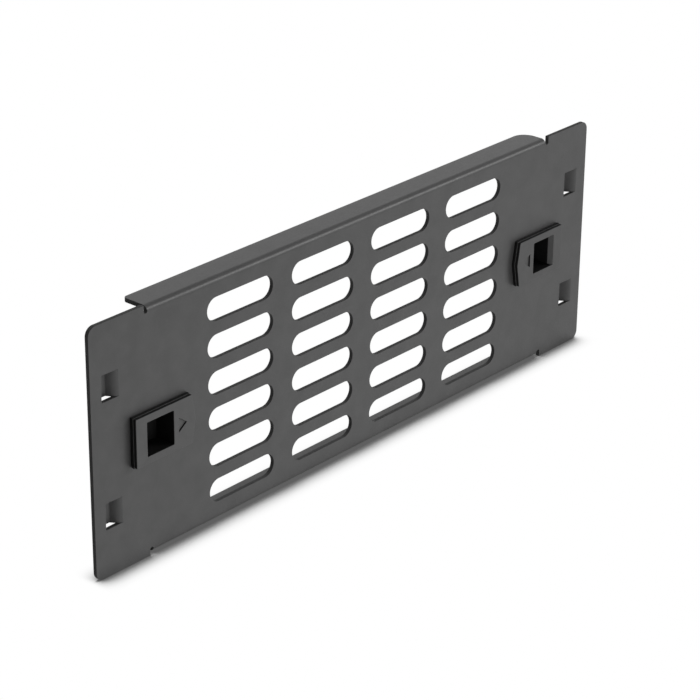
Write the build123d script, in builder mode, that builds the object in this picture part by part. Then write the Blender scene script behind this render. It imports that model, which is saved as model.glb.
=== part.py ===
# A vented blanking panel, two units high, for a 10 inch rack: one folded steel sheet with four
# locating tabs lanced from its ears, and a sprung slide latch at each side.
# Millimetres. +Z is up, X runs along the panel and the front faces -Y.
# The origin is the middle of the back of the sheet, the plane where the ears seat on the rack's rails.

import os

from build123d import *

# The rack that the panel fits, with its square holes measured in from the panel's ends
rack_unit = 44.45
rack_units = 2
rack_unit_play = 0.8
rail_width = 15.875
rail_thickness = 2.0
rail_hole_margin = 8.75

# The folded sheet
sheet = 1.5
panel_width = 254.0
panel_height = rack_units * rack_unit - rack_unit_play
ear_length = 25.3
ear_corner_radius = 3.2
bend_inner_radius = 0.6
flange_depth = 10.9
flange_drop = 0.7
flange_left_radius = 1.5
flange_right_radius = 5.0
relief_width = 1.6
relief_overrun = 0.1

# The vent slots, as many as fit between the least margins
slot_length = 30.7
slot_height = 8.3
slot_bridge_x = 9.3
slot_bridge_z = 4.7
slot_margin_x = 25.0
slot_margin_z = 7.0

# The locating tabs, lanced on three sides and pushed back, each hinged at its right side.
# They sit a little left of and below the middles of the rack's holes.
tab_set_left = 0.3
tab_set_down = 0.2
tab_window_width = 7.2
tab_window_height = 9.2
tab_kerf = 0.1
tab_depth = 2.8
tab_crease_place = 3.2
tab_slope_run = 1.85
tab_flat_length = 2.8
tab_hinge_radius = 3.0
tab_crease_radius = 0.4

# The latches sit a little below the panel's middle. Each slide block's inner end comes to a blunt point,
# and a narrow ledge runs round its sides.
latch_drop = 0.5
block_end_margin = 16.5
block_length = 25.0
block_point = 1.5
block_height = 17.2
block_rise = 2.6
block_ledge = 0.2
block_ledge_rise = 1.4
block_edge_radius = 0.2
block_gap = 0.15

# The finger recess in the block, with a sloped lip on its outer side
recess_end_margin = 6.1
recess_length = 10.6
recess_height = 12.0
recess_depth = 4.0
recess_floor = 1.0
recess_lip_run = 1.35
recess_lip_depth = 1.6
recess_corner_radius = 0.4

# The arrow sunk into the block's face, pointing the way the latch slides
arrow_margin = 2.25
arrow_length = 3.5
arrow_height = 5.0
arrow_depth = 0.6

# The neck that passes through the sheet, and the snap hooks that hold the bolt on it
neck_wall = 1.2
neck_side_play = 0.25
neck_stop_play = 0.1
window_corner_radius = 0.8
hook_length = 3.6
hook_spread = 7.0
hook_reach = 0.6
hook_height = 1.0
hook_play = 0.1

# The bolt behind the sheet, whose nose catches behind the rail
latch_travel = 3.6
bolt_gap = 0.2
bolt_plate = 2.4
bolt_play = 0.1
bolt_rail_width = 2.8
bolt_inner_overhang = 1.6
bolt_corner_radius = 1.0
nose_reach = 2.5
nose_height = 12.0
nose_thickness = 3.4
nose_rail_play = 0.5
nose_ramp = 2.2

# The spring, its spigot, and the tongue of the sheet that it pushes against
spring_wire = 0.35
spring_diameter = 3.6
spring_turns = 3.0
spring_end_gap = 0.1
spring_play = 0.1
spring_set_back = 2.6
spigot_diameter = 2.4
spigot_length = 1.2
tongue_width = 5.6
tongue_length = 5.2
tongue_slit = 0.8
tongue_slit_overrun = 0.1

os.makedirs("parts", exist_ok=True)

# Places worked out from the sizes above
front = -sheet
half_height = panel_height / 2
rail_opening = panel_width - 2 * rail_width
hole_spacing = panel_width - 2 * rail_hole_margin
bend_outer_radius = bend_inner_radius + sheet
flange_span = panel_width - 2 * ear_length
flange_top = half_height - flange_drop
flange_rear = front + flange_depth
relief_depth = flange_drop + bend_outer_radius + relief_overrun
slot_pitch_x = slot_length + slot_bridge_x
slot_pitch_z = slot_height + slot_bridge_z
slot_columns = int((flange_span - 2 * slot_margin_x + slot_bridge_x) // slot_pitch_x)
slot_rows = int((panel_height - 2 * slot_margin_z + slot_bridge_z) // slot_pitch_z)
block_outer_end = panel_width / 2 - block_end_margin
block_inner_end = block_outer_end - block_length
recess_outer_end = block_outer_end - recess_end_margin
recess_inner_end = recess_outer_end - recess_length
arrow_base = recess_inner_end - arrow_margin
neck_inner = recess_inner_end - neck_wall
neck_outer = recess_outer_end + neck_wall
neck_height = recess_height + 2 * neck_wall
neck_rear = recess_depth + recess_floor
spring_solid_length = (spring_turns + 1) * spring_wire
tongue_face = neck_inner - latch_travel - spring_solid_length - 2 * spring_end_gap - spring_play
window_inner = tongue_face
window_outer = neck_outer + neck_stop_play
window_length = window_outer - window_inner
window_middle = (window_inner + window_outer) / 2
window_height = neck_height + 2 * neck_side_play
tongue_bend_start = tongue_face - bend_outer_radius
slit_length = bend_outer_radius + tongue_slit_overrun
slit_middle = window_inner - slit_length / 2
slit_offset = (tongue_width + tongue_slit) / 2
tab_height = tab_window_height - 2 * tab_kerf
latch_front_plane = Plane(origin=(0, 0, -latch_drop), x_dir=(1, 0, 0), z_dir=(0, -1, 0))
latch_side_plane = Plane(origin=(0, 0, -latch_drop), x_dir=(0, 1, 0), z_dir=(1, 0, 0))
latch_top_plane = Plane.XY.offset(-latch_drop)

# The panel: the flat sheet with its ears, the folded flanges, then all that is punched and lanced
with BuildPart() as panel:
    with BuildSketch(Plane.XZ):
        RectangleRounded(panel_width, panel_height, ear_corner_radius)
        relief_place = half_height - relief_depth / 2
        with Locations((0, relief_place), (0, -relief_place)):
            Rectangle(flange_span, relief_depth, mode=Mode.SUBTRACT)
        with GridLocations(flange_span + relief_width, panel_height, 2, 2):
            SlotOverall(2 * relief_depth, relief_width, rotation=90, mode=Mode.SUBTRACT)
    extrude(amount=sheet)

    with BuildSketch(Plane.YZ):
        with BuildLine():
            outer_skin = FilletPolyline(
                (flange_rear, -flange_top),
                (front, -flange_top),
                (front, flange_top),
                (flange_rear, flange_top),
                radius=bend_outer_radius,
            )
            offset(outer_skin, amount=sheet, side=Side.RIGHT)
        make_face()
    extrude(amount=flange_span / 2, both=True)
    rear_corners = panel.edges().filter_by(Axis.Z).group_by(Axis.Y)[-1].sort_by(Axis.X)
    fillet(rear_corners[:2], radius=flange_left_radius)
    rear_corners = panel.edges().filter_by(Axis.Z).group_by(Axis.Y)[-1].sort_by(Axis.X)
    fillet(rear_corners[-2:], radius=flange_right_radius)

    # the vent slots
    with BuildSketch(Plane.XZ):
        with GridLocations(slot_pitch_x, slot_pitch_z, slot_columns, slot_rows):
            SlotOverall(slot_length, slot_height)
    extrude(amount=sheet, mode=Mode.SUBTRACT)

    # the windows for the latches' necks, each with slits beside the root of its spring tongue
    with BuildSketch(latch_front_plane):
        for side in (-1, 1):
            with Locations((side * window_middle, 0)):
                RectangleRounded(window_length, window_height, window_corner_radius)
            with Locations((side * slit_middle, slit_offset), (side * slit_middle, -slit_offset)):
                Rectangle(slit_length, tongue_slit)
            with Locations((side * (tongue_face - bend_outer_radius / 2), 0)):
                Rectangle(bend_outer_radius, tongue_width)
    extrude(amount=sheet, mode=Mode.SUBTRACT)

    # the tongues, folded back from the inner ends of those windows
    for side in (-1, 1):
        with BuildSketch(latch_top_plane.offset(-tongue_width / 2)):
            with BuildLine():
                tongue_skin = FilletPolyline(
                    (side * (tongue_bend_start - sheet), front),
                    (side * tongue_face, front),
                    (side * tongue_face, tongue_length),
                    radius=bend_outer_radius,
                )
                offset(tongue_skin, amount=sheet, side=Side.LEFT if side > 0 else Side.RIGHT)
            make_face()
        extrude(amount=tongue_width)

    # the windows of the locating tabs, by the square hole at the middle of each rack unit
    hole_places = GridLocations(hole_spacing, rack_unit, 2, rack_units).locations
    tab_places = [Pos(-tab_set_left, -tab_set_down) * place for place in hole_places]
    with BuildSketch(Plane.XZ):
        with Locations(*tab_places):
            Rectangle(tab_window_width, tab_window_height)
    extrude(amount=sheet, mode=Mode.SUBTRACT)

    # the tabs: a slope back from the hinge, then a flat end that sits inside the rack's hole
    for place in tab_places:
        hinge = place.position.X + tab_window_width / 2
        crease = hinge - tab_crease_place
        slope_start = crease + tab_slope_run
        with BuildSketch(Plane.XY.offset(place.position.Y - tab_height / 2)):
            with BuildLine():
                tab_skin = FilletPolyline(
                    (hinge + sheet, front),
                    (slope_start, front),
                    (crease, front + tab_depth),
                    (crease - tab_flat_length, front + tab_depth),
                    radius=(tab_hinge_radius, tab_crease_radius),
                )
                offset(tab_skin, amount=sheet, side=Side.RIGHT)
            make_face()
        extrude(amount=tab_height)
panel.part.label = "panel"

# The right latch's slider: a moulded block on the front, with a hollow neck through the window
block_rear = front - block_gap
block_face = front - block_rise
with BuildPart() as slider_right:
    # the block's upper step over its full rise, then the wider step below it
    for border, rise in ((0, block_rise), (block_ledge, block_ledge_rise)):
        with BuildSketch(latch_front_plane.offset(-block_rear)):
            with BuildLine():
                Polyline(
                    (block_inner_end - block_point - border, 0),
                    (block_inner_end - border, block_height / 2 + border),
                    (block_outer_end + border, block_height / 2 + border),
                    (block_outer_end + border, -block_height / 2 - border),
                    (block_inner_end - border, -block_height / 2 - border),
                    close=True,
                )
            make_face()
        extrude(amount=rise - block_gap)

    # the hollow neck, open to the front as the finger recess
    with BuildSketch(latch_front_plane.offset(-neck_rear)):
        with Locations(((neck_inner + neck_outer) / 2, 0)):
            RectangleRounded(neck_outer - neck_inner, neck_height, window_corner_radius)
    extrude(amount=neck_rear - block_rear)
    with BuildSketch(latch_front_plane.offset(-recess_depth)):
        with Locations(((recess_inner_end + recess_outer_end) / 2, 0)):
            RectangleRounded(recess_outer_end - recess_inner_end, recess_height, recess_corner_radius)
    extrude(amount=recess_depth - block_face, mode=Mode.SUBTRACT)
    fillet(slider_right.faces().sort_by(Axis.Y)[0].edges(), radius=block_edge_radius)

    # the lip that a fingertip rolls over, a slope down into the recess's outer side
    with BuildSketch(latch_top_plane.offset(-recess_height / 2)):
        with BuildLine():
            Polyline(
                (recess_outer_end, block_face + recess_lip_depth),
                (recess_outer_end + recess_lip_run, block_face),
                (recess_outer_end, block_face),
                close=True,
            )
        make_face()
    extrude(amount=recess_height, mode=Mode.SUBTRACT)

    # the sunk arrow
    with BuildSketch(latch_front_plane.offset(-block_face - arrow_depth)):
        with BuildLine():
            Polyline(
                (arrow_base - arrow_length, 0),
                (arrow_base, arrow_height / 2),
                (arrow_base, -arrow_height / 2),
                close=True,
            )
        make_face()
    extrude(amount=arrow_depth, mode=Mode.SUBTRACT)

    # the spigot for the spring, and the snap hooks on the neck's upper and lower sides
    with BuildSketch(latch_side_plane.offset(neck_inner)):
        with Locations((spring_set_back, 0)):
            Circle(spigot_diameter / 2)
    extrude(amount=-spigot_length)
    hook_start = bolt_gap + bolt_plate + hook_play
    for hook_place in (-hook_spread / 2, hook_spread / 2):
        with BuildSketch(latch_side_plane.offset((neck_inner + neck_outer - hook_length) / 2 + hook_place)):
            for up in (-1, 1):
                with BuildLine():
                    Polyline(
                        (hook_start, up * (neck_height / 2 - hook_reach)),
                        (hook_start, up * (neck_height / 2 + hook_reach)),
                        (hook_start + hook_height, up * (neck_height / 2 - hook_reach)),
                        close=True,
                    )
                make_face()
        extrude(amount=hook_length)
slider_right.part.label = "latch_slider_right"

# The right latch's bolt: a plate that rides on the back of the sheet round the neck, and a ramped nose
bolt_inner_end = neck_inner - bolt_inner_overhang
nose_tip = rail_opening / 2 + nose_reach
bolt_outer_end = nose_tip - latch_travel
bolt_height = window_height + 2 * bolt_rail_width
nose_front = rail_thickness + nose_rail_play
nose_rear = nose_front + nose_thickness
with BuildPart() as bolt_right:
    with BuildSketch(latch_front_plane.offset(-bolt_gap)):
        with Locations(((bolt_inner_end + bolt_outer_end) / 2, 0)):
            RectangleRounded(bolt_outer_end - bolt_inner_end, bolt_height, bolt_corner_radius)
    extrude(amount=-bolt_plate)

    # the nose, ramped at the back so that it rides past the rail when the panel is pushed in
    with BuildSketch(latch_top_plane.offset(-nose_height / 2)):
        with BuildLine():
            Polyline(
                (neck_outer + bolt_play, bolt_gap),
                (bolt_outer_end, bolt_gap),
                (bolt_outer_end, nose_front),
                (nose_tip, nose_front),
                (nose_tip, nose_rear - nose_ramp),
                (nose_tip - nose_ramp, nose_rear),
                (neck_outer + bolt_play, nose_rear),
                close=True,
            )
        make_face()
    extrude(amount=nose_height)

    # the hole that snaps over the neck, and the gap for the spring and its tongue
    with BuildSketch(latch_front_plane):
        with Locations(((neck_inner + neck_outer) / 2, 0)):
            RectangleRounded(
                neck_outer - neck_inner + 2 * bolt_play,
                neck_height + 2 * bolt_play,
                window_corner_radius,
            )
        with Locations((neck_inner - bolt_inner_overhang / 2, 0)):
            Rectangle(2 * bolt_inner_overhang, tongue_width + 2 * tongue_slit)
    extrude(amount=-2 * nose_rear, mode=Mode.SUBTRACT)
bolt_right.part.label = "latch_bolt_right"

with BuildPart() as slider_left:
    mirror(slider_right.part, about=Plane.YZ)
slider_left.part.label = "latch_slider_left"

with BuildPart() as bolt_left:
    mirror(bolt_right.part, about=Plane.YZ)
bolt_left.part.label = "latch_bolt_left"

# The springs: both wound the same way, each between its tongue and its slider's neck
spring_start = tongue_face + spring_end_gap + spring_wire / 2
spring_length = neck_inner - spring_end_gap - spring_wire / 2 - spring_start
springs = {}
for name, side in (("left", -1), ("right", 1)):
    with BuildPart() as spring:
        with BuildLine():
            coil = Helix(
                spring_length / spring_turns,
                spring_length,
                (spring_diameter - spring_wire) / 2,
                center=(side * spring_start, spring_set_back, -latch_drop),
                direction=(side, 0, 0),
            )
        with BuildSketch(Plane(origin=coil @ 0, z_dir=coil % 0)):
            RegularPolygon(spring_wire / 2, 6)
        sweep()
    spring.part.label = f"latch_spring_{name}"
    springs[name] = spring

pieces = [panel, slider_left, slider_right, bolt_left, bolt_right, springs["left"], springs["right"]]
for piece in pieces:
    export_step(piece.part, f"parts/{piece.part.label}.step")
    print(piece.part.label, round(piece.part.volume, 1), "mm3")
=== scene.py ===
import math

import bmesh
import bpy
import numpy as np
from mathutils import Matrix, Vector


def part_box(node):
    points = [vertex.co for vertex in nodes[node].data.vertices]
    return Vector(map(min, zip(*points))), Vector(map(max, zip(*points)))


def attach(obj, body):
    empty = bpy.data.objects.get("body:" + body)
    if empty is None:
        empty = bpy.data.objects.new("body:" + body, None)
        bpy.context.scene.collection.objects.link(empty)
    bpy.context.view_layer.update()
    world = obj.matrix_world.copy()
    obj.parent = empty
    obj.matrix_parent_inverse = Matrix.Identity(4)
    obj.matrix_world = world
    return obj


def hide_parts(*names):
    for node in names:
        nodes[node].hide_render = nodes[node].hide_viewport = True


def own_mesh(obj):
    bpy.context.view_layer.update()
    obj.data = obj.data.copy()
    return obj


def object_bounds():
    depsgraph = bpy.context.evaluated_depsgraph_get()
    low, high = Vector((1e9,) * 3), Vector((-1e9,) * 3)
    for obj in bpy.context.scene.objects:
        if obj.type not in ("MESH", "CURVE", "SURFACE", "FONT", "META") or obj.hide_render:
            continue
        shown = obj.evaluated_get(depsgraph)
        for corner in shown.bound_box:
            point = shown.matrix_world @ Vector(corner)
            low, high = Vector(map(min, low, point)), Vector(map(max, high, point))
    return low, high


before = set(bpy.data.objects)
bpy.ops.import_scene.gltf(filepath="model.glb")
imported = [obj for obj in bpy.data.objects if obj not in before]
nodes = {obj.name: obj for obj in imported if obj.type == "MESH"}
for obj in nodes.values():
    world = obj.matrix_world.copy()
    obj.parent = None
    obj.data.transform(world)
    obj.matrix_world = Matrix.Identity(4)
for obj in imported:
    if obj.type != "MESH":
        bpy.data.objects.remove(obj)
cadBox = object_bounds()

mm = 0.001  # lengths below are in millimetres where their names say so


def addObject(name, data):
    # a new object in the scene, at the origin
    obj = bpy.data.objects.new(name, data)
    bpy.context.scene.collection.objects.link(obj)
    return obj


def emptyMaterial(name):
    # a material with nothing in its node tree but the output
    mat = bpy.data.materials.new(name)
    mat.use_nodes = True
    tree = mat.node_tree
    tree.nodes.clear()
    return mat, tree, tree.nodes.new("ShaderNodeOutputMaterial")


def newMaterial(name):
    # a material with a Principled shader wired to its output
    mat, tree, out = emptyMaterial(name)
    shader = tree.nodes.new("ShaderNodeBsdfPrincipled")
    tree.links.new(shader.outputs["BSDF"], out.inputs["Surface"])
    return mat, tree, shader


def mathNode(tree, operation, *values):
    # one step of arithmetic on two or three values, each an output or a number
    node = tree.nodes.new("ShaderNodeMath")
    node.operation = operation
    for socket, value in zip(node.inputs, values):
        if isinstance(value, (int, float)):
            socket.default_value = value
        else:
            tree.links.new(value, socket)
    return node.outputs["Value"]


def mapRange(tree, value, source, target, smooth=False):
    # takes the two limits of source to those of target, and goes no further beyond them
    ranger = tree.nodes.new("ShaderNodeMapRange")
    ranger.interpolation_type = "SMOOTHSTEP" if smooth else "LINEAR"
    for socket, number in zip(("From Min", "From Max", "To Min", "To Max"), (*source, *target)):
        ranger.inputs[socket].default_value = number
    tree.links.new(value, ranger.inputs["Value"])
    return ranger.outputs["Result"]


def noiseAt(tree, sizeMm, detail=2.0, roughness=0.5):
    # a noise on Object coordinates whose grains are sizeMm across
    coords = tree.nodes.new("ShaderNodeTexCoord")
    noise = tree.nodes.new("ShaderNodeTexNoise")
    noise.inputs["Scale"].default_value = 1 / (sizeMm * mm)
    noise.inputs["Detail"].default_value = detail
    noise.inputs["Roughness"].default_value = roughness
    tree.links.new(coords.outputs["Object"], noise.inputs["Vector"])
    return noise.outputs["Fac"]


def mixColours(tree, factor, dark, light):
    # dark where the factor is 0 and light where it is 1
    mix = tree.nodes.new("ShaderNodeMix")
    mix.data_type = "RGBA"
    mix.inputs["A"].default_value = (*dark, 1)
    mix.inputs["B"].default_value = (*light, 1)
    tree.links.new(factor, mix.inputs["Factor"])
    return mix.outputs["Result"]


def addBump(tree, heights, normalIn):
    # heights is a list of (height output, depth in mm), each laid on the one before
    previous = None
    for height, depthMm in heights:
        bump = tree.nodes.new("ShaderNodeBump")
        bump.inputs["Strength"].default_value = 1.0
        bump.inputs["Distance"].default_value = depthMm * mm
        tree.links.new(height, bump.inputs["Height"])
        if previous:
            tree.links.new(previous, bump.inputs["Normal"])
        previous = bump.outputs["Normal"]
    tree.links.new(previous, normalIn)


noiseSpread = (0.3, 0.7)  # where nearly all of a noise's values lie

powderCoat = {
    "darkColour": (0.064, 0.064, 0.064),
    "lightColour": (0.076, 0.076, 0.076),
    "mottleMm": 7.0,
    "grainMm": 0.5,
    "grainDepthMm": 0.02,
    "peelMm": 2.0,
    "peelDepthMm": 0.02,
    "roughLow": 0.34,
    "roughHigh": 0.44,
    "specular": 0.3,
}

# the cut edges: rougher and less glossy than the skins, and darker in colour as painted shade
cutEdgePaintedShade = {
    "darkColour": (0.048, 0.048, 0.048),
    "lightColour": (0.060, 0.060, 0.060),
    "mottleMm": 3.0,
    "grainMm": 0.35,
    "grainDepthMm": 0.03,
    "peelMm": 1.2,
    "peelDepthMm": 0.02,
    "roughLow": 0.62,
    "roughHigh": 0.74,
    "specular": 0.12,
}

mouldedPlastic = {
    "darkColour": (0.092, 0.092, 0.092),
    "lightColour": (0.102, 0.102, 0.102),
    "mottleMm": 4.0,
    "grainMm": 0.3,
    "grainDepthMm": 0.01,
    "peelMm": 3.0,
    "peelDepthMm": 0.02,
    "roughLow": 0.5,
    "roughHigh": 0.6,
    "specular": 0.15,
}

# the walls of the moulding, drawn smooth from the mould, and the inside of its recess; their near-black
# colour is painted shade
wallPlasticPaintedShade = {
    "darkColour": (0.011, 0.011, 0.011),
    "lightColour": (0.015, 0.015, 0.015),
    "mottleMm": 4.0,
    "grainMm": 0.3,
    "grainDepthMm": 0.004,
    "peelMm": 3.0,
    "peelDepthMm": 0.01,
    "roughLow": 0.4,
    "roughHigh": 0.46,
    "specular": 0.08,
}


def makeCoat(name, p):
    # a textured finish: small grains on a faint orange peel, in a slightly mottled grey
    mat, tree, shader = newMaterial(name)
    mottle = noiseAt(tree, p["mottleMm"], detail=3.0)
    grain = noiseAt(tree, p["grainMm"], detail=2.0, roughness=0.6)
    peel = noiseAt(tree, p["peelMm"], detail=1.0)
    colour = mixColours(tree, mapRange(tree, mottle, noiseSpread, (0, 1)), p["darkColour"], p["lightColour"])
    roughness = mapRange(tree, grain, noiseSpread, (p["roughLow"], p["roughHigh"]))
    tree.links.new(colour, shader.inputs["Base Color"])
    tree.links.new(roughness, shader.inputs["Roughness"])
    shader.inputs["Specular IOR Level"].default_value = p["specular"]
    addBump(tree, [(peel, p["peelDepthMm"]), (grain, p["grainDepthMm"])], shader.inputs["Normal"])
    return mat


springSteel = {
    "colour": (0.62, 0.62, 0.60),
    "roughness": 0.28,
    "markMm": 0.2,
    "markDepthMm": 0.004,
}


def makeSpringSteel(p):
    # drawn wire with faint marks on it
    mat, tree, shader = newMaterial("springSteel")
    shader.inputs["Base Color"].default_value = (*p["colour"], 1)
    shader.inputs["Metallic"].default_value = 1.0
    shader.inputs["Roughness"].default_value = p["roughness"]
    addBump(tree, [(noiseAt(tree, p["markMm"]), p["markDepthMm"])], shader.inputs["Normal"])
    return mat


coat = makeCoat("powderCoat", powderCoat)
# the cut edges' darker colour and the latch walls' near black below are painted shade
edgeShadeCoat = makeCoat("cutEdgePaintedShade", cutEdgePaintedShade)
plastic = makeCoat("mouldedPlastic", mouldedPlastic)
wallShadePlastic = makeCoat("wallPlasticPaintedShade", wallPlasticPaintedShade)
steel = makeSpringSteel(springSteel)
print("materials made")

softening = {
    "mergeMm": 0.001,
    "flatDeg": 0.5,
    "sharpDeg": 28.0,
    "segments": 2,
    "joinDeg": 40.0,
    "flatAreaMm": 20.0,
    "normalSteps": 1000,
    "depthStepsPerMm": 100,
}


def faceArrays(mesh):
    # each face's centre in millimetres, its normal and its area in square millimetres
    count = len(mesh.polygons)
    centres = np.empty(count * 3, np.float32)
    normals = np.empty(count * 3, np.float32)
    areas = np.empty(count, np.float32)
    mesh.polygons.foreach_get("center", centres)
    mesh.polygons.foreach_get("normal", normals)
    mesh.polygons.foreach_get("area", areas)
    return centres.reshape(-1, 3) / mm, normals.reshape(-1, 3), areas / mm**2


def faceWeights(centres, normals, areas):
    # a face's own area, or the area of its whole plane if that is large. Faces share a plane where their
    # rounded normals and their rounded depths along them are the same.
    p = softening
    depth = (centres * normals).sum(1)
    keys = np.round(np.c_[normals * p["normalSteps"], depth * p["depthStepsPerMm"]])
    planes = np.unique(keys, axis=0, return_inverse=True)[1].ravel()
    planeArea = np.bincount(planes, areas)[planes]
    return np.where(planeArea > p["flatAreaMm"], planeArea, areas)


def setCornerNormals(mesh):
    # at each corner, the weighted mean of those faces round it that turn less than joinDeg from its own, so
    # flats stay flat and bevels shade smoothly
    centres, normals, areas = faceArrays(mesh)
    weight = faceWeights(centres, normals, areas)
    count = len(mesh.loops)
    cornerVert = np.empty(count, np.int32)
    mesh.loops.foreach_get("vertex_index", cornerVert)
    totals = np.empty(len(mesh.polygons), np.int32)
    mesh.polygons.foreach_get("loop_total", totals)
    # corners sorted by vertex, and each paired with every corner at its vertex, itself too
    order = np.argsort(cornerVert, kind="stable")
    face = np.repeat(np.arange(len(totals)), totals)[order]
    around = np.bincount(cornerVert)
    first = (np.cumsum(around) - around)[cornerVert[order]]
    many = around[cornerVert[order]]
    one = np.repeat(np.arange(count), many)
    other = np.repeat(first, many) + np.arange(many.sum()) - np.repeat(np.cumsum(many) - many, many)
    turn = (normals[face[one]] * normals[face[other]]).sum(1)
    joined = turn > math.cos(math.radians(softening["joinDeg"]))
    pull = normals[face[other]] * (weight[face[other]] * joined)[:, None]
    mean = np.stack([np.bincount(one, pull[:, axis], count) for axis in range(3)], 1)
    corner = np.empty_like(mean)
    corner[order] = mean / np.linalg.norm(mean, axis=1)[:, None]
    mesh.shade_smooth()
    mesh.normals_split_custom_set(corner.tolist())


def joinedCopy(nodeName, leftSharp=None):
    # a copy of a CAD node's mesh with its flat faces joined, and a bevel weight on every sharp corner apart
    # from those that leftSharp picks
    p = softening
    mesh = nodes[nodeName].data.copy()
    mesh.materials.clear()
    if "custom_normal" in mesh.attributes:
        mesh.attributes.remove(mesh.attributes["custom_normal"])
    shape = bmesh.new()
    shape.from_mesh(mesh)
    bmesh.ops.remove_doubles(shape, verts=shape.verts, dist=p["mergeMm"] * mm)
    flat = math.radians(p["flatDeg"])
    bmesh.ops.dissolve_limit(shape, angle_limit=flat, verts=shape.verts, edges=shape.edges)
    bmesh.ops.recalc_face_normals(shape, faces=shape.faces)
    bevelWeight = shape.edges.layers.float.new("bevel_weight_edge")
    for edge in shape.edges:
        middle = (edge.verts[0].co + edge.verts[1].co) / 2 / mm
        if edge.calc_face_angle() > math.radians(p["sharpDeg"]) and not (leftSharp and leftSharp(middle)):
            edge[bevelWeight] = 1.0
    shape.to_mesh(mesh)
    shape.free()
    return mesh


def finishedCopy(nodeName, bevelMm, mats, kinds, leftSharp=None):
    # stands for a CAD node, with small bevels and with the material that kinds gives each face
    mesh = joinedCopy(nodeName, leftSharp)
    for mat in mats:
        mesh.materials.append(mat)
    centres, normals = faceArrays(mesh)[:2]
    mesh.polygons.foreach_set("material_index", kinds(centres, normals).astype(np.int32))
    obj = addObject(f"{nodeName}_finished", mesh)
    bevel = obj.modifiers.new("bevel", "BEVEL")
    bevel.width = bevelMm * mm
    bevel.segments = softening["segments"]
    bevel.limit_method = "WEIGHT"
    bevel.use_clamp_overlap = False
    shaped = obj.evaluated_get(bpy.context.evaluated_depsgraph_get())
    finished = bpy.data.meshes.new_from_object(shaped)
    obj.modifiers.clear()
    obj.data = finished
    setCornerNormals(finished)
    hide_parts(nodeName)
    return obj


# edgeDepth is in shares of the sheet's thickness, and the four after it are limits on parts of a normal
panelShape = {
    "sheetMm": 1.5,
    "bevelMm": 0.16,
    "bendEndMm": 0.8,
    "flangeZoneMm": 4.5,
    "tabStartMm": 112.0,
    "hingesMm": (-114.95, 121.55),
    "hingeReachMm": 0.7,
    "reliefMm": (101.5, 103.5),
    "reliefTopMm": 41.0,
    "edgeDepth": (0.2, 0.8),
    "edgeTilt": 0.3,
    "uprightTilt": 0.1,
    "endTurn": 0.05,
    "levelTilt": 0.9,
}


def panelEdgeShadeKinds(centres, normals):
    # 1 on the sheet's cut edges, which take a darker colour as painted shade, and 0 on its skins.
    # A cut edge is a face square to the sheet within its thickness, the end or rear of a flange, or the
    # end of a tab.
    p = panelShape
    x, depth, z = np.abs(centres[:, 0]), -centres[:, 1] / p["sheetMm"], np.abs(centres[:, 2])
    nx, ny, nz = np.abs(normals).T
    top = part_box("panel")[1][2] / mm
    nearFlange = z > top - p["flangeZoneMm"]
    inSheet = (ny < p["edgeTilt"]) & (depth > p["edgeDepth"][0]) & (depth < p["edgeDepth"][1])
    flangeEnd = (nz < p["uprightTilt"]) & (nx > p["endTurn"]) & nearFlange
    flangeRear = (nz < p["uprightTilt"]) & nearFlange & (centres[:, 1] > p["bendEndMm"])
    tabEnd = (nz > p["levelTilt"]) & (x > p["tabStartMm"]) & ~nearFlange
    return inSheet | flangeEnd | flangeRear | tabEnd


def panelLeftSharp(middle):
    # the corners of the relief slits and of the tabs' hinges, where a bevel would run into the next one
    p = panelShape
    inRelief = p["reliefMm"][0] < abs(middle[0]) < p["reliefMm"][1] and abs(middle[2]) > p["reliefTopMm"]
    return inRelief or min(abs(middle[0] - hinge) for hinge in p["hingesMm"]) < p["hingeReachMm"]


latchShape = {"sliderBevelMm": 0.16, "boltBevelMm": 0.2, "wallTilt": 0.5, "frontToMm": -2.0}


def latchShadeKinds(centres, normals):
    # 1 on the walls of a latch and inside its recess, which take the painted shade, and 0 on the faces that
    # look forward or back
    p = latchShape
    inRecess = (normals[:, 1] < 0) & (centres[:, 1] > p["frontToMm"])
    return (np.abs(normals[:, 1]) < p["wallTilt"]) | inRecess


panel = finishedCopy("panel", panelShape["bevelMm"], [coat, edgeShadeCoat], panelEdgeShadeKinds, panelLeftSharp)
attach(panel, "panel")
for side in ("left", "right"):
    for part in ("slider", "bolt"):
        bevelMm = latchShape[f"{part}BevelMm"]
        piece = finishedCopy(f"latch_{part}_{side}", bevelMm, [plastic, wallShadePlastic], latchShadeKinds)
        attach(piece, f"latch_{side}")
print("panel and latches finished")

spring = {
    "wireMm": 0.35,
    "turns": 3.0,
    "closing": 0.45,
    "stepsPerTurn": 48,
    "around": 14,
    "keep": 0.3,
}


def coilLine(start, end, radius, p):
    # the middle of a wire on a helix, and at each point the direction away from its axis. At share s of its
    # length the wire has turned 2 pi times the turns times s, and has moved along by s less closing / 2 pi
    # times sin 2 pi s, so the coils close up at both ends.
    s = np.linspace(0, 1, round(p["turns"] * p["stepsPerTurn"]) + 1)[:, None]
    turn = 2 * np.pi * p["turns"] * s
    along = s - p["closing"] / (2 * np.pi) * np.sin(2 * np.pi * s)
    outward = np.hstack([0 * s, np.cos(turn), np.sin(turn)])
    return radius * outward + start + (end - start) * along, outward


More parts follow.
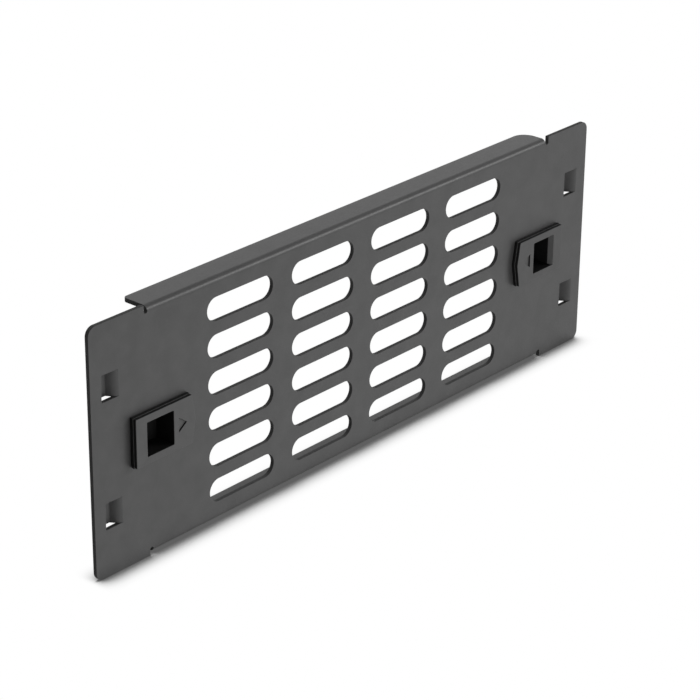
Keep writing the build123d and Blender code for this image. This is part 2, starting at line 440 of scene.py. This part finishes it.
def wireMesh(name, line, outward, radius, around):
    # a round wire along line, closed at both ends: the point at angle a of a ring lies at radius times
    # outward times cos a plus across times sin a
    run = np.gradient(line, axis=0)
    run /= np.linalg.norm(run, axis=1)[:, None]
    across = np.cross(run, outward)
    a = np.arange(around)[None, :, None] * 2 * np.pi / around
    rings = line[:, None] + radius * (np.cos(a) * outward[:, None] + np.sin(a) * across[:, None])
    n, k = rings.shape[:2]
    verts = np.concatenate([rings.reshape(-1, 3), line[:1], line[-1:]])
    i, j = np.meshgrid(np.arange(n - 1), np.arange(k), indexing="ij")
    after = (j + 1) % k
    sides = np.stack([i * k + j, i * k + after, (i + 1) * k + after, (i + 1) * k + j], -1).reshape(-1, 4)
    ring = np.arange(k)
    firstCap = np.stack([np.full(k, n * k), (ring + 1) % k, ring], 1)
    lastCap = np.stack([np.full(k, n * k + 1), (n - 1) * k + ring, (n - 1) * k + (ring + 1) % k], 1)
    mesh = bpy.data.meshes.new(name)
    mesh.from_pydata(verts.tolist(), [], sides.tolist() + firstCap.tolist() + lastCap.tolist())
    shape = bmesh.new()
    shape.from_mesh(mesh)
    bmesh.ops.recalc_face_normals(shape, faces=shape.faces)
    shape.to_mesh(mesh)
    shape.free()
    mesh.shade_smooth()
    return mesh


def makeSpring(side, p):
    # fills the box of the CAD spring, from the sheet's tongue to the slider's neck
    low, high = (np.array(corner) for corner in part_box(f"latch_spring_{side}"))
    atTongue = (low + high) / 2
    atNeck = atTongue.copy()
    atTongue[0], atNeck[0] = (low[0], high[0]) if side == "right" else (high[0], low[0])
    wire = p["wireMm"] * mm / 2
    inset = wire * np.sign(atNeck - atTongue)
    line, outward = coilLine(atTongue + inset, atNeck - inset, (high[2] - low[2]) / 2 - wire, p)
    mesh = wireMesh(f"spring_{side}", line, outward, wire, p["around"])
    mesh.materials.append(steel)
    obj = addObject(f"latch_spring_{side}_wire", mesh)
    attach(obj, "panel")
    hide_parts(f"latch_spring_{side}")
    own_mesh(obj)


for side in ("left", "right"):
    makeSpring(side, spring)
print("springs wound")

cameraAt = {
    "place": (-0.59906, -0.51543, 0.35802),
    "turnDeg": (65.2223, -0.5154, -48.8504),
    "lensMm": 129.814,
    "sensorMm": 36.0,
    "clipStart": 0.01,
}
eye = bpy.data.cameras.new("camera")
eye.lens = cameraAt["lensMm"]
eye.sensor_width = cameraAt["sensorMm"]
eye.clip_start = cameraAt["clipStart"]
eyeObj = addObject("camera", eye)
eyeObj.location = cameraAt["place"]
eyeObj.rotation_euler = [math.radians(angle) for angle in cameraAt["turnDeg"]]
bpy.context.scene.camera = eyeObj
print("camera placed")

floorLook = {
    "halfSize": 3.0,
    "colour": (0.8, 0.8, 0.8),
    "contactMm": 9.6,
    "samples": 16,
    "gain": 1.25,
    "falloff": 1.9,
    "deepest": 0.9,
    "rounding": 0.7,
    "behindMm": (11.0, 18.0),
    "leftMm": (-129.5, -126.5),
    "rightMm": (126.0, 133.0),
}


def seenDirectly(tree):
    # 1 for camera, glossy and transmitted rays, and 0 for the light that falls on the object
    path = tree.nodes.new("ShaderNodeLightPath")
    mirrored = mathNode(tree, "MAXIMUM", path.outputs["Is Glossy Ray"], path.outputs["Is Transmission Ray"])
    return mathNode(tree, "MAXIMUM", path.outputs["Is Camera Ray"], mirrored)


def contactShadow(tree, p):
    # how dark the floor is under the object: gain times the covered share's double to the power of
    # falloff, levelling off at deepest. The share is doubled because a wall covers half of what its foot
    # sees. The shadow fades away behind the panel and past its ends.
    contact = tree.nodes.new("ShaderNodeAmbientOcclusion")
    contact.samples = p["samples"]
    contact.inputs["Distance"].default_value = p["contactMm"] * mm
    covered = mathNode(tree, "SUBTRACT", 1.0, contact.outputs["AO"])
    doubled = mathNode(tree, "MINIMUM", mathNode(tree, "MULTIPLY", covered, 2.0), 1.0)
    shadow = mathNode(tree, "MULTIPLY", mathNode(tree, "POWER", doubled, p["falloff"]), p["gain"])
    shadow = mathNode(tree, "SMOOTH_MIN", shadow, p["deepest"], p["rounding"])
    coords = tree.nodes.new("ShaderNodeTexCoord")
    place = tree.nodes.new("ShaderNodeSeparateXYZ")
    tree.links.new(coords.outputs["Object"], place.inputs["Vector"])
    fades = (("Y", p["behindMm"], (1, 0)), ("X", p["leftMm"], (0, 1)), ("X", p["rightMm"], (1, 0)))
    for axis, limitsMm, strengths in fades:
        limits = [limit * mm for limit in limitsMm]
        fade = mapRange(tree, place.outputs[axis], limits, strengths, smooth=True)
        shadow = mathNode(tree, "MULTIPLY", shadow, fade)
    return shadow


def makeFloor(p):
    # a pale floor that reads white to the camera and darkens only close under the object
    z = cadBox[0][2]
    h = p["halfSize"]
    mesh = bpy.data.meshes.new("floor")
    mesh.from_pydata([(-h, -h, z), (h, -h, z), (h, h, z), (-h, h, z)], [], [(0, 1, 2, 3)])
    mat, tree, out = emptyMaterial("floorPaper")
    matte = tree.nodes.new("ShaderNodeBsdfDiffuse")
    matte.inputs["Color"].default_value = (*p["colour"], 1)
    glow = tree.nodes.new("ShaderNodeEmission")
    tree.links.new(mathNode(tree, "SUBTRACT", 1.0, contactShadow(tree, p)), glow.inputs["Strength"])
    mix = tree.nodes.new("ShaderNodeMixShader")
    tree.links.new(seenDirectly(tree), mix.inputs["Fac"])
    tree.links.new(matte.outputs["BSDF"], mix.inputs[1])
    tree.links.new(glow.outputs["Emission"], mix.inputs[2])
    tree.links.new(mix.outputs["Shader"], out.inputs["Surface"])
    mesh.materials.append(mat)
    obj = addObject("floor", mesh)
    obj.visible_shadow = False  # the key light shines up from under the floor's level


makeFloor(floorLook)

worldLook = {"seen": 1.0, "lighting": 0.06}


def makeWorld(p):
    # white where the camera or a reflection looks past the floor, and a weak even light on the object
    world = bpy.data.worlds.new("studio")
    bpy.context.scene.world = world
    world.use_nodes = True
    tree = world.node_tree
    back = tree.nodes["Background"]
    back.inputs["Color"].default_value = (1, 1, 1, 1)
    strength = mapRange(tree, seenDirectly(tree), (0, 1), (p["lighting"], p["seen"]))
    tree.links.new(strength, back.inputs["Strength"])


makeWorld(worldLook)


def placeLamp(name, lamp, place, inGloss):
    # a lamp at a place, aimed at the origin
    obj = addObject(name, lamp)
    obj.location = place
    obj.rotation_euler = (-obj.location).to_track_quat("-Z", "Y").to_euler()
    obj.visible_glossy = inGloss


# wide, soft suns: where each shines from, the angle it fills, its strength and whether it shows in gloss
suns = {
    "key": {"from": (0.72, -0.5, -0.48), "spreadDeg": 50.0, "strength": 1.12, "inGloss": False},
    "side": {"from": (0.68, -0.6, 0.4), "spreadDeg": 20.0, "strength": 1.05, "inGloss": True},
    "back": {"from": (0.1, 0.9, 0.35), "spreadDeg": 40.0, "strength": 1.6, "inGloss": True},
}


def makeSun(name, p):
    lamp = bpy.data.lights.new(name, "SUN")
    lamp.angle = math.radians(p["spreadDeg"])
    lamp.energy = p["strength"]
    placeLamp(name, lamp, p["from"], p["inGloss"])


for name, look in suns.items():
    makeSun(name, look)

frontLook = {"place": (-0.04, -0.3, -0.04), "size": 0.2, "power": 0.4}


def makeFront(p):
    # a square soft lamp close in front, a little below the middle, so both ends get less than the centre
    lamp = bpy.data.lights.new("front", "AREA")
    lamp.shape = "SQUARE"
    lamp.size = p["size"]
    lamp.energy = p["power"]
    placeLamp("front", lamp, p["place"], False)


makeFront(frontLook)
bpy.context.scene.view_settings.view_transform = "Standard"
print("floor and lights placed")
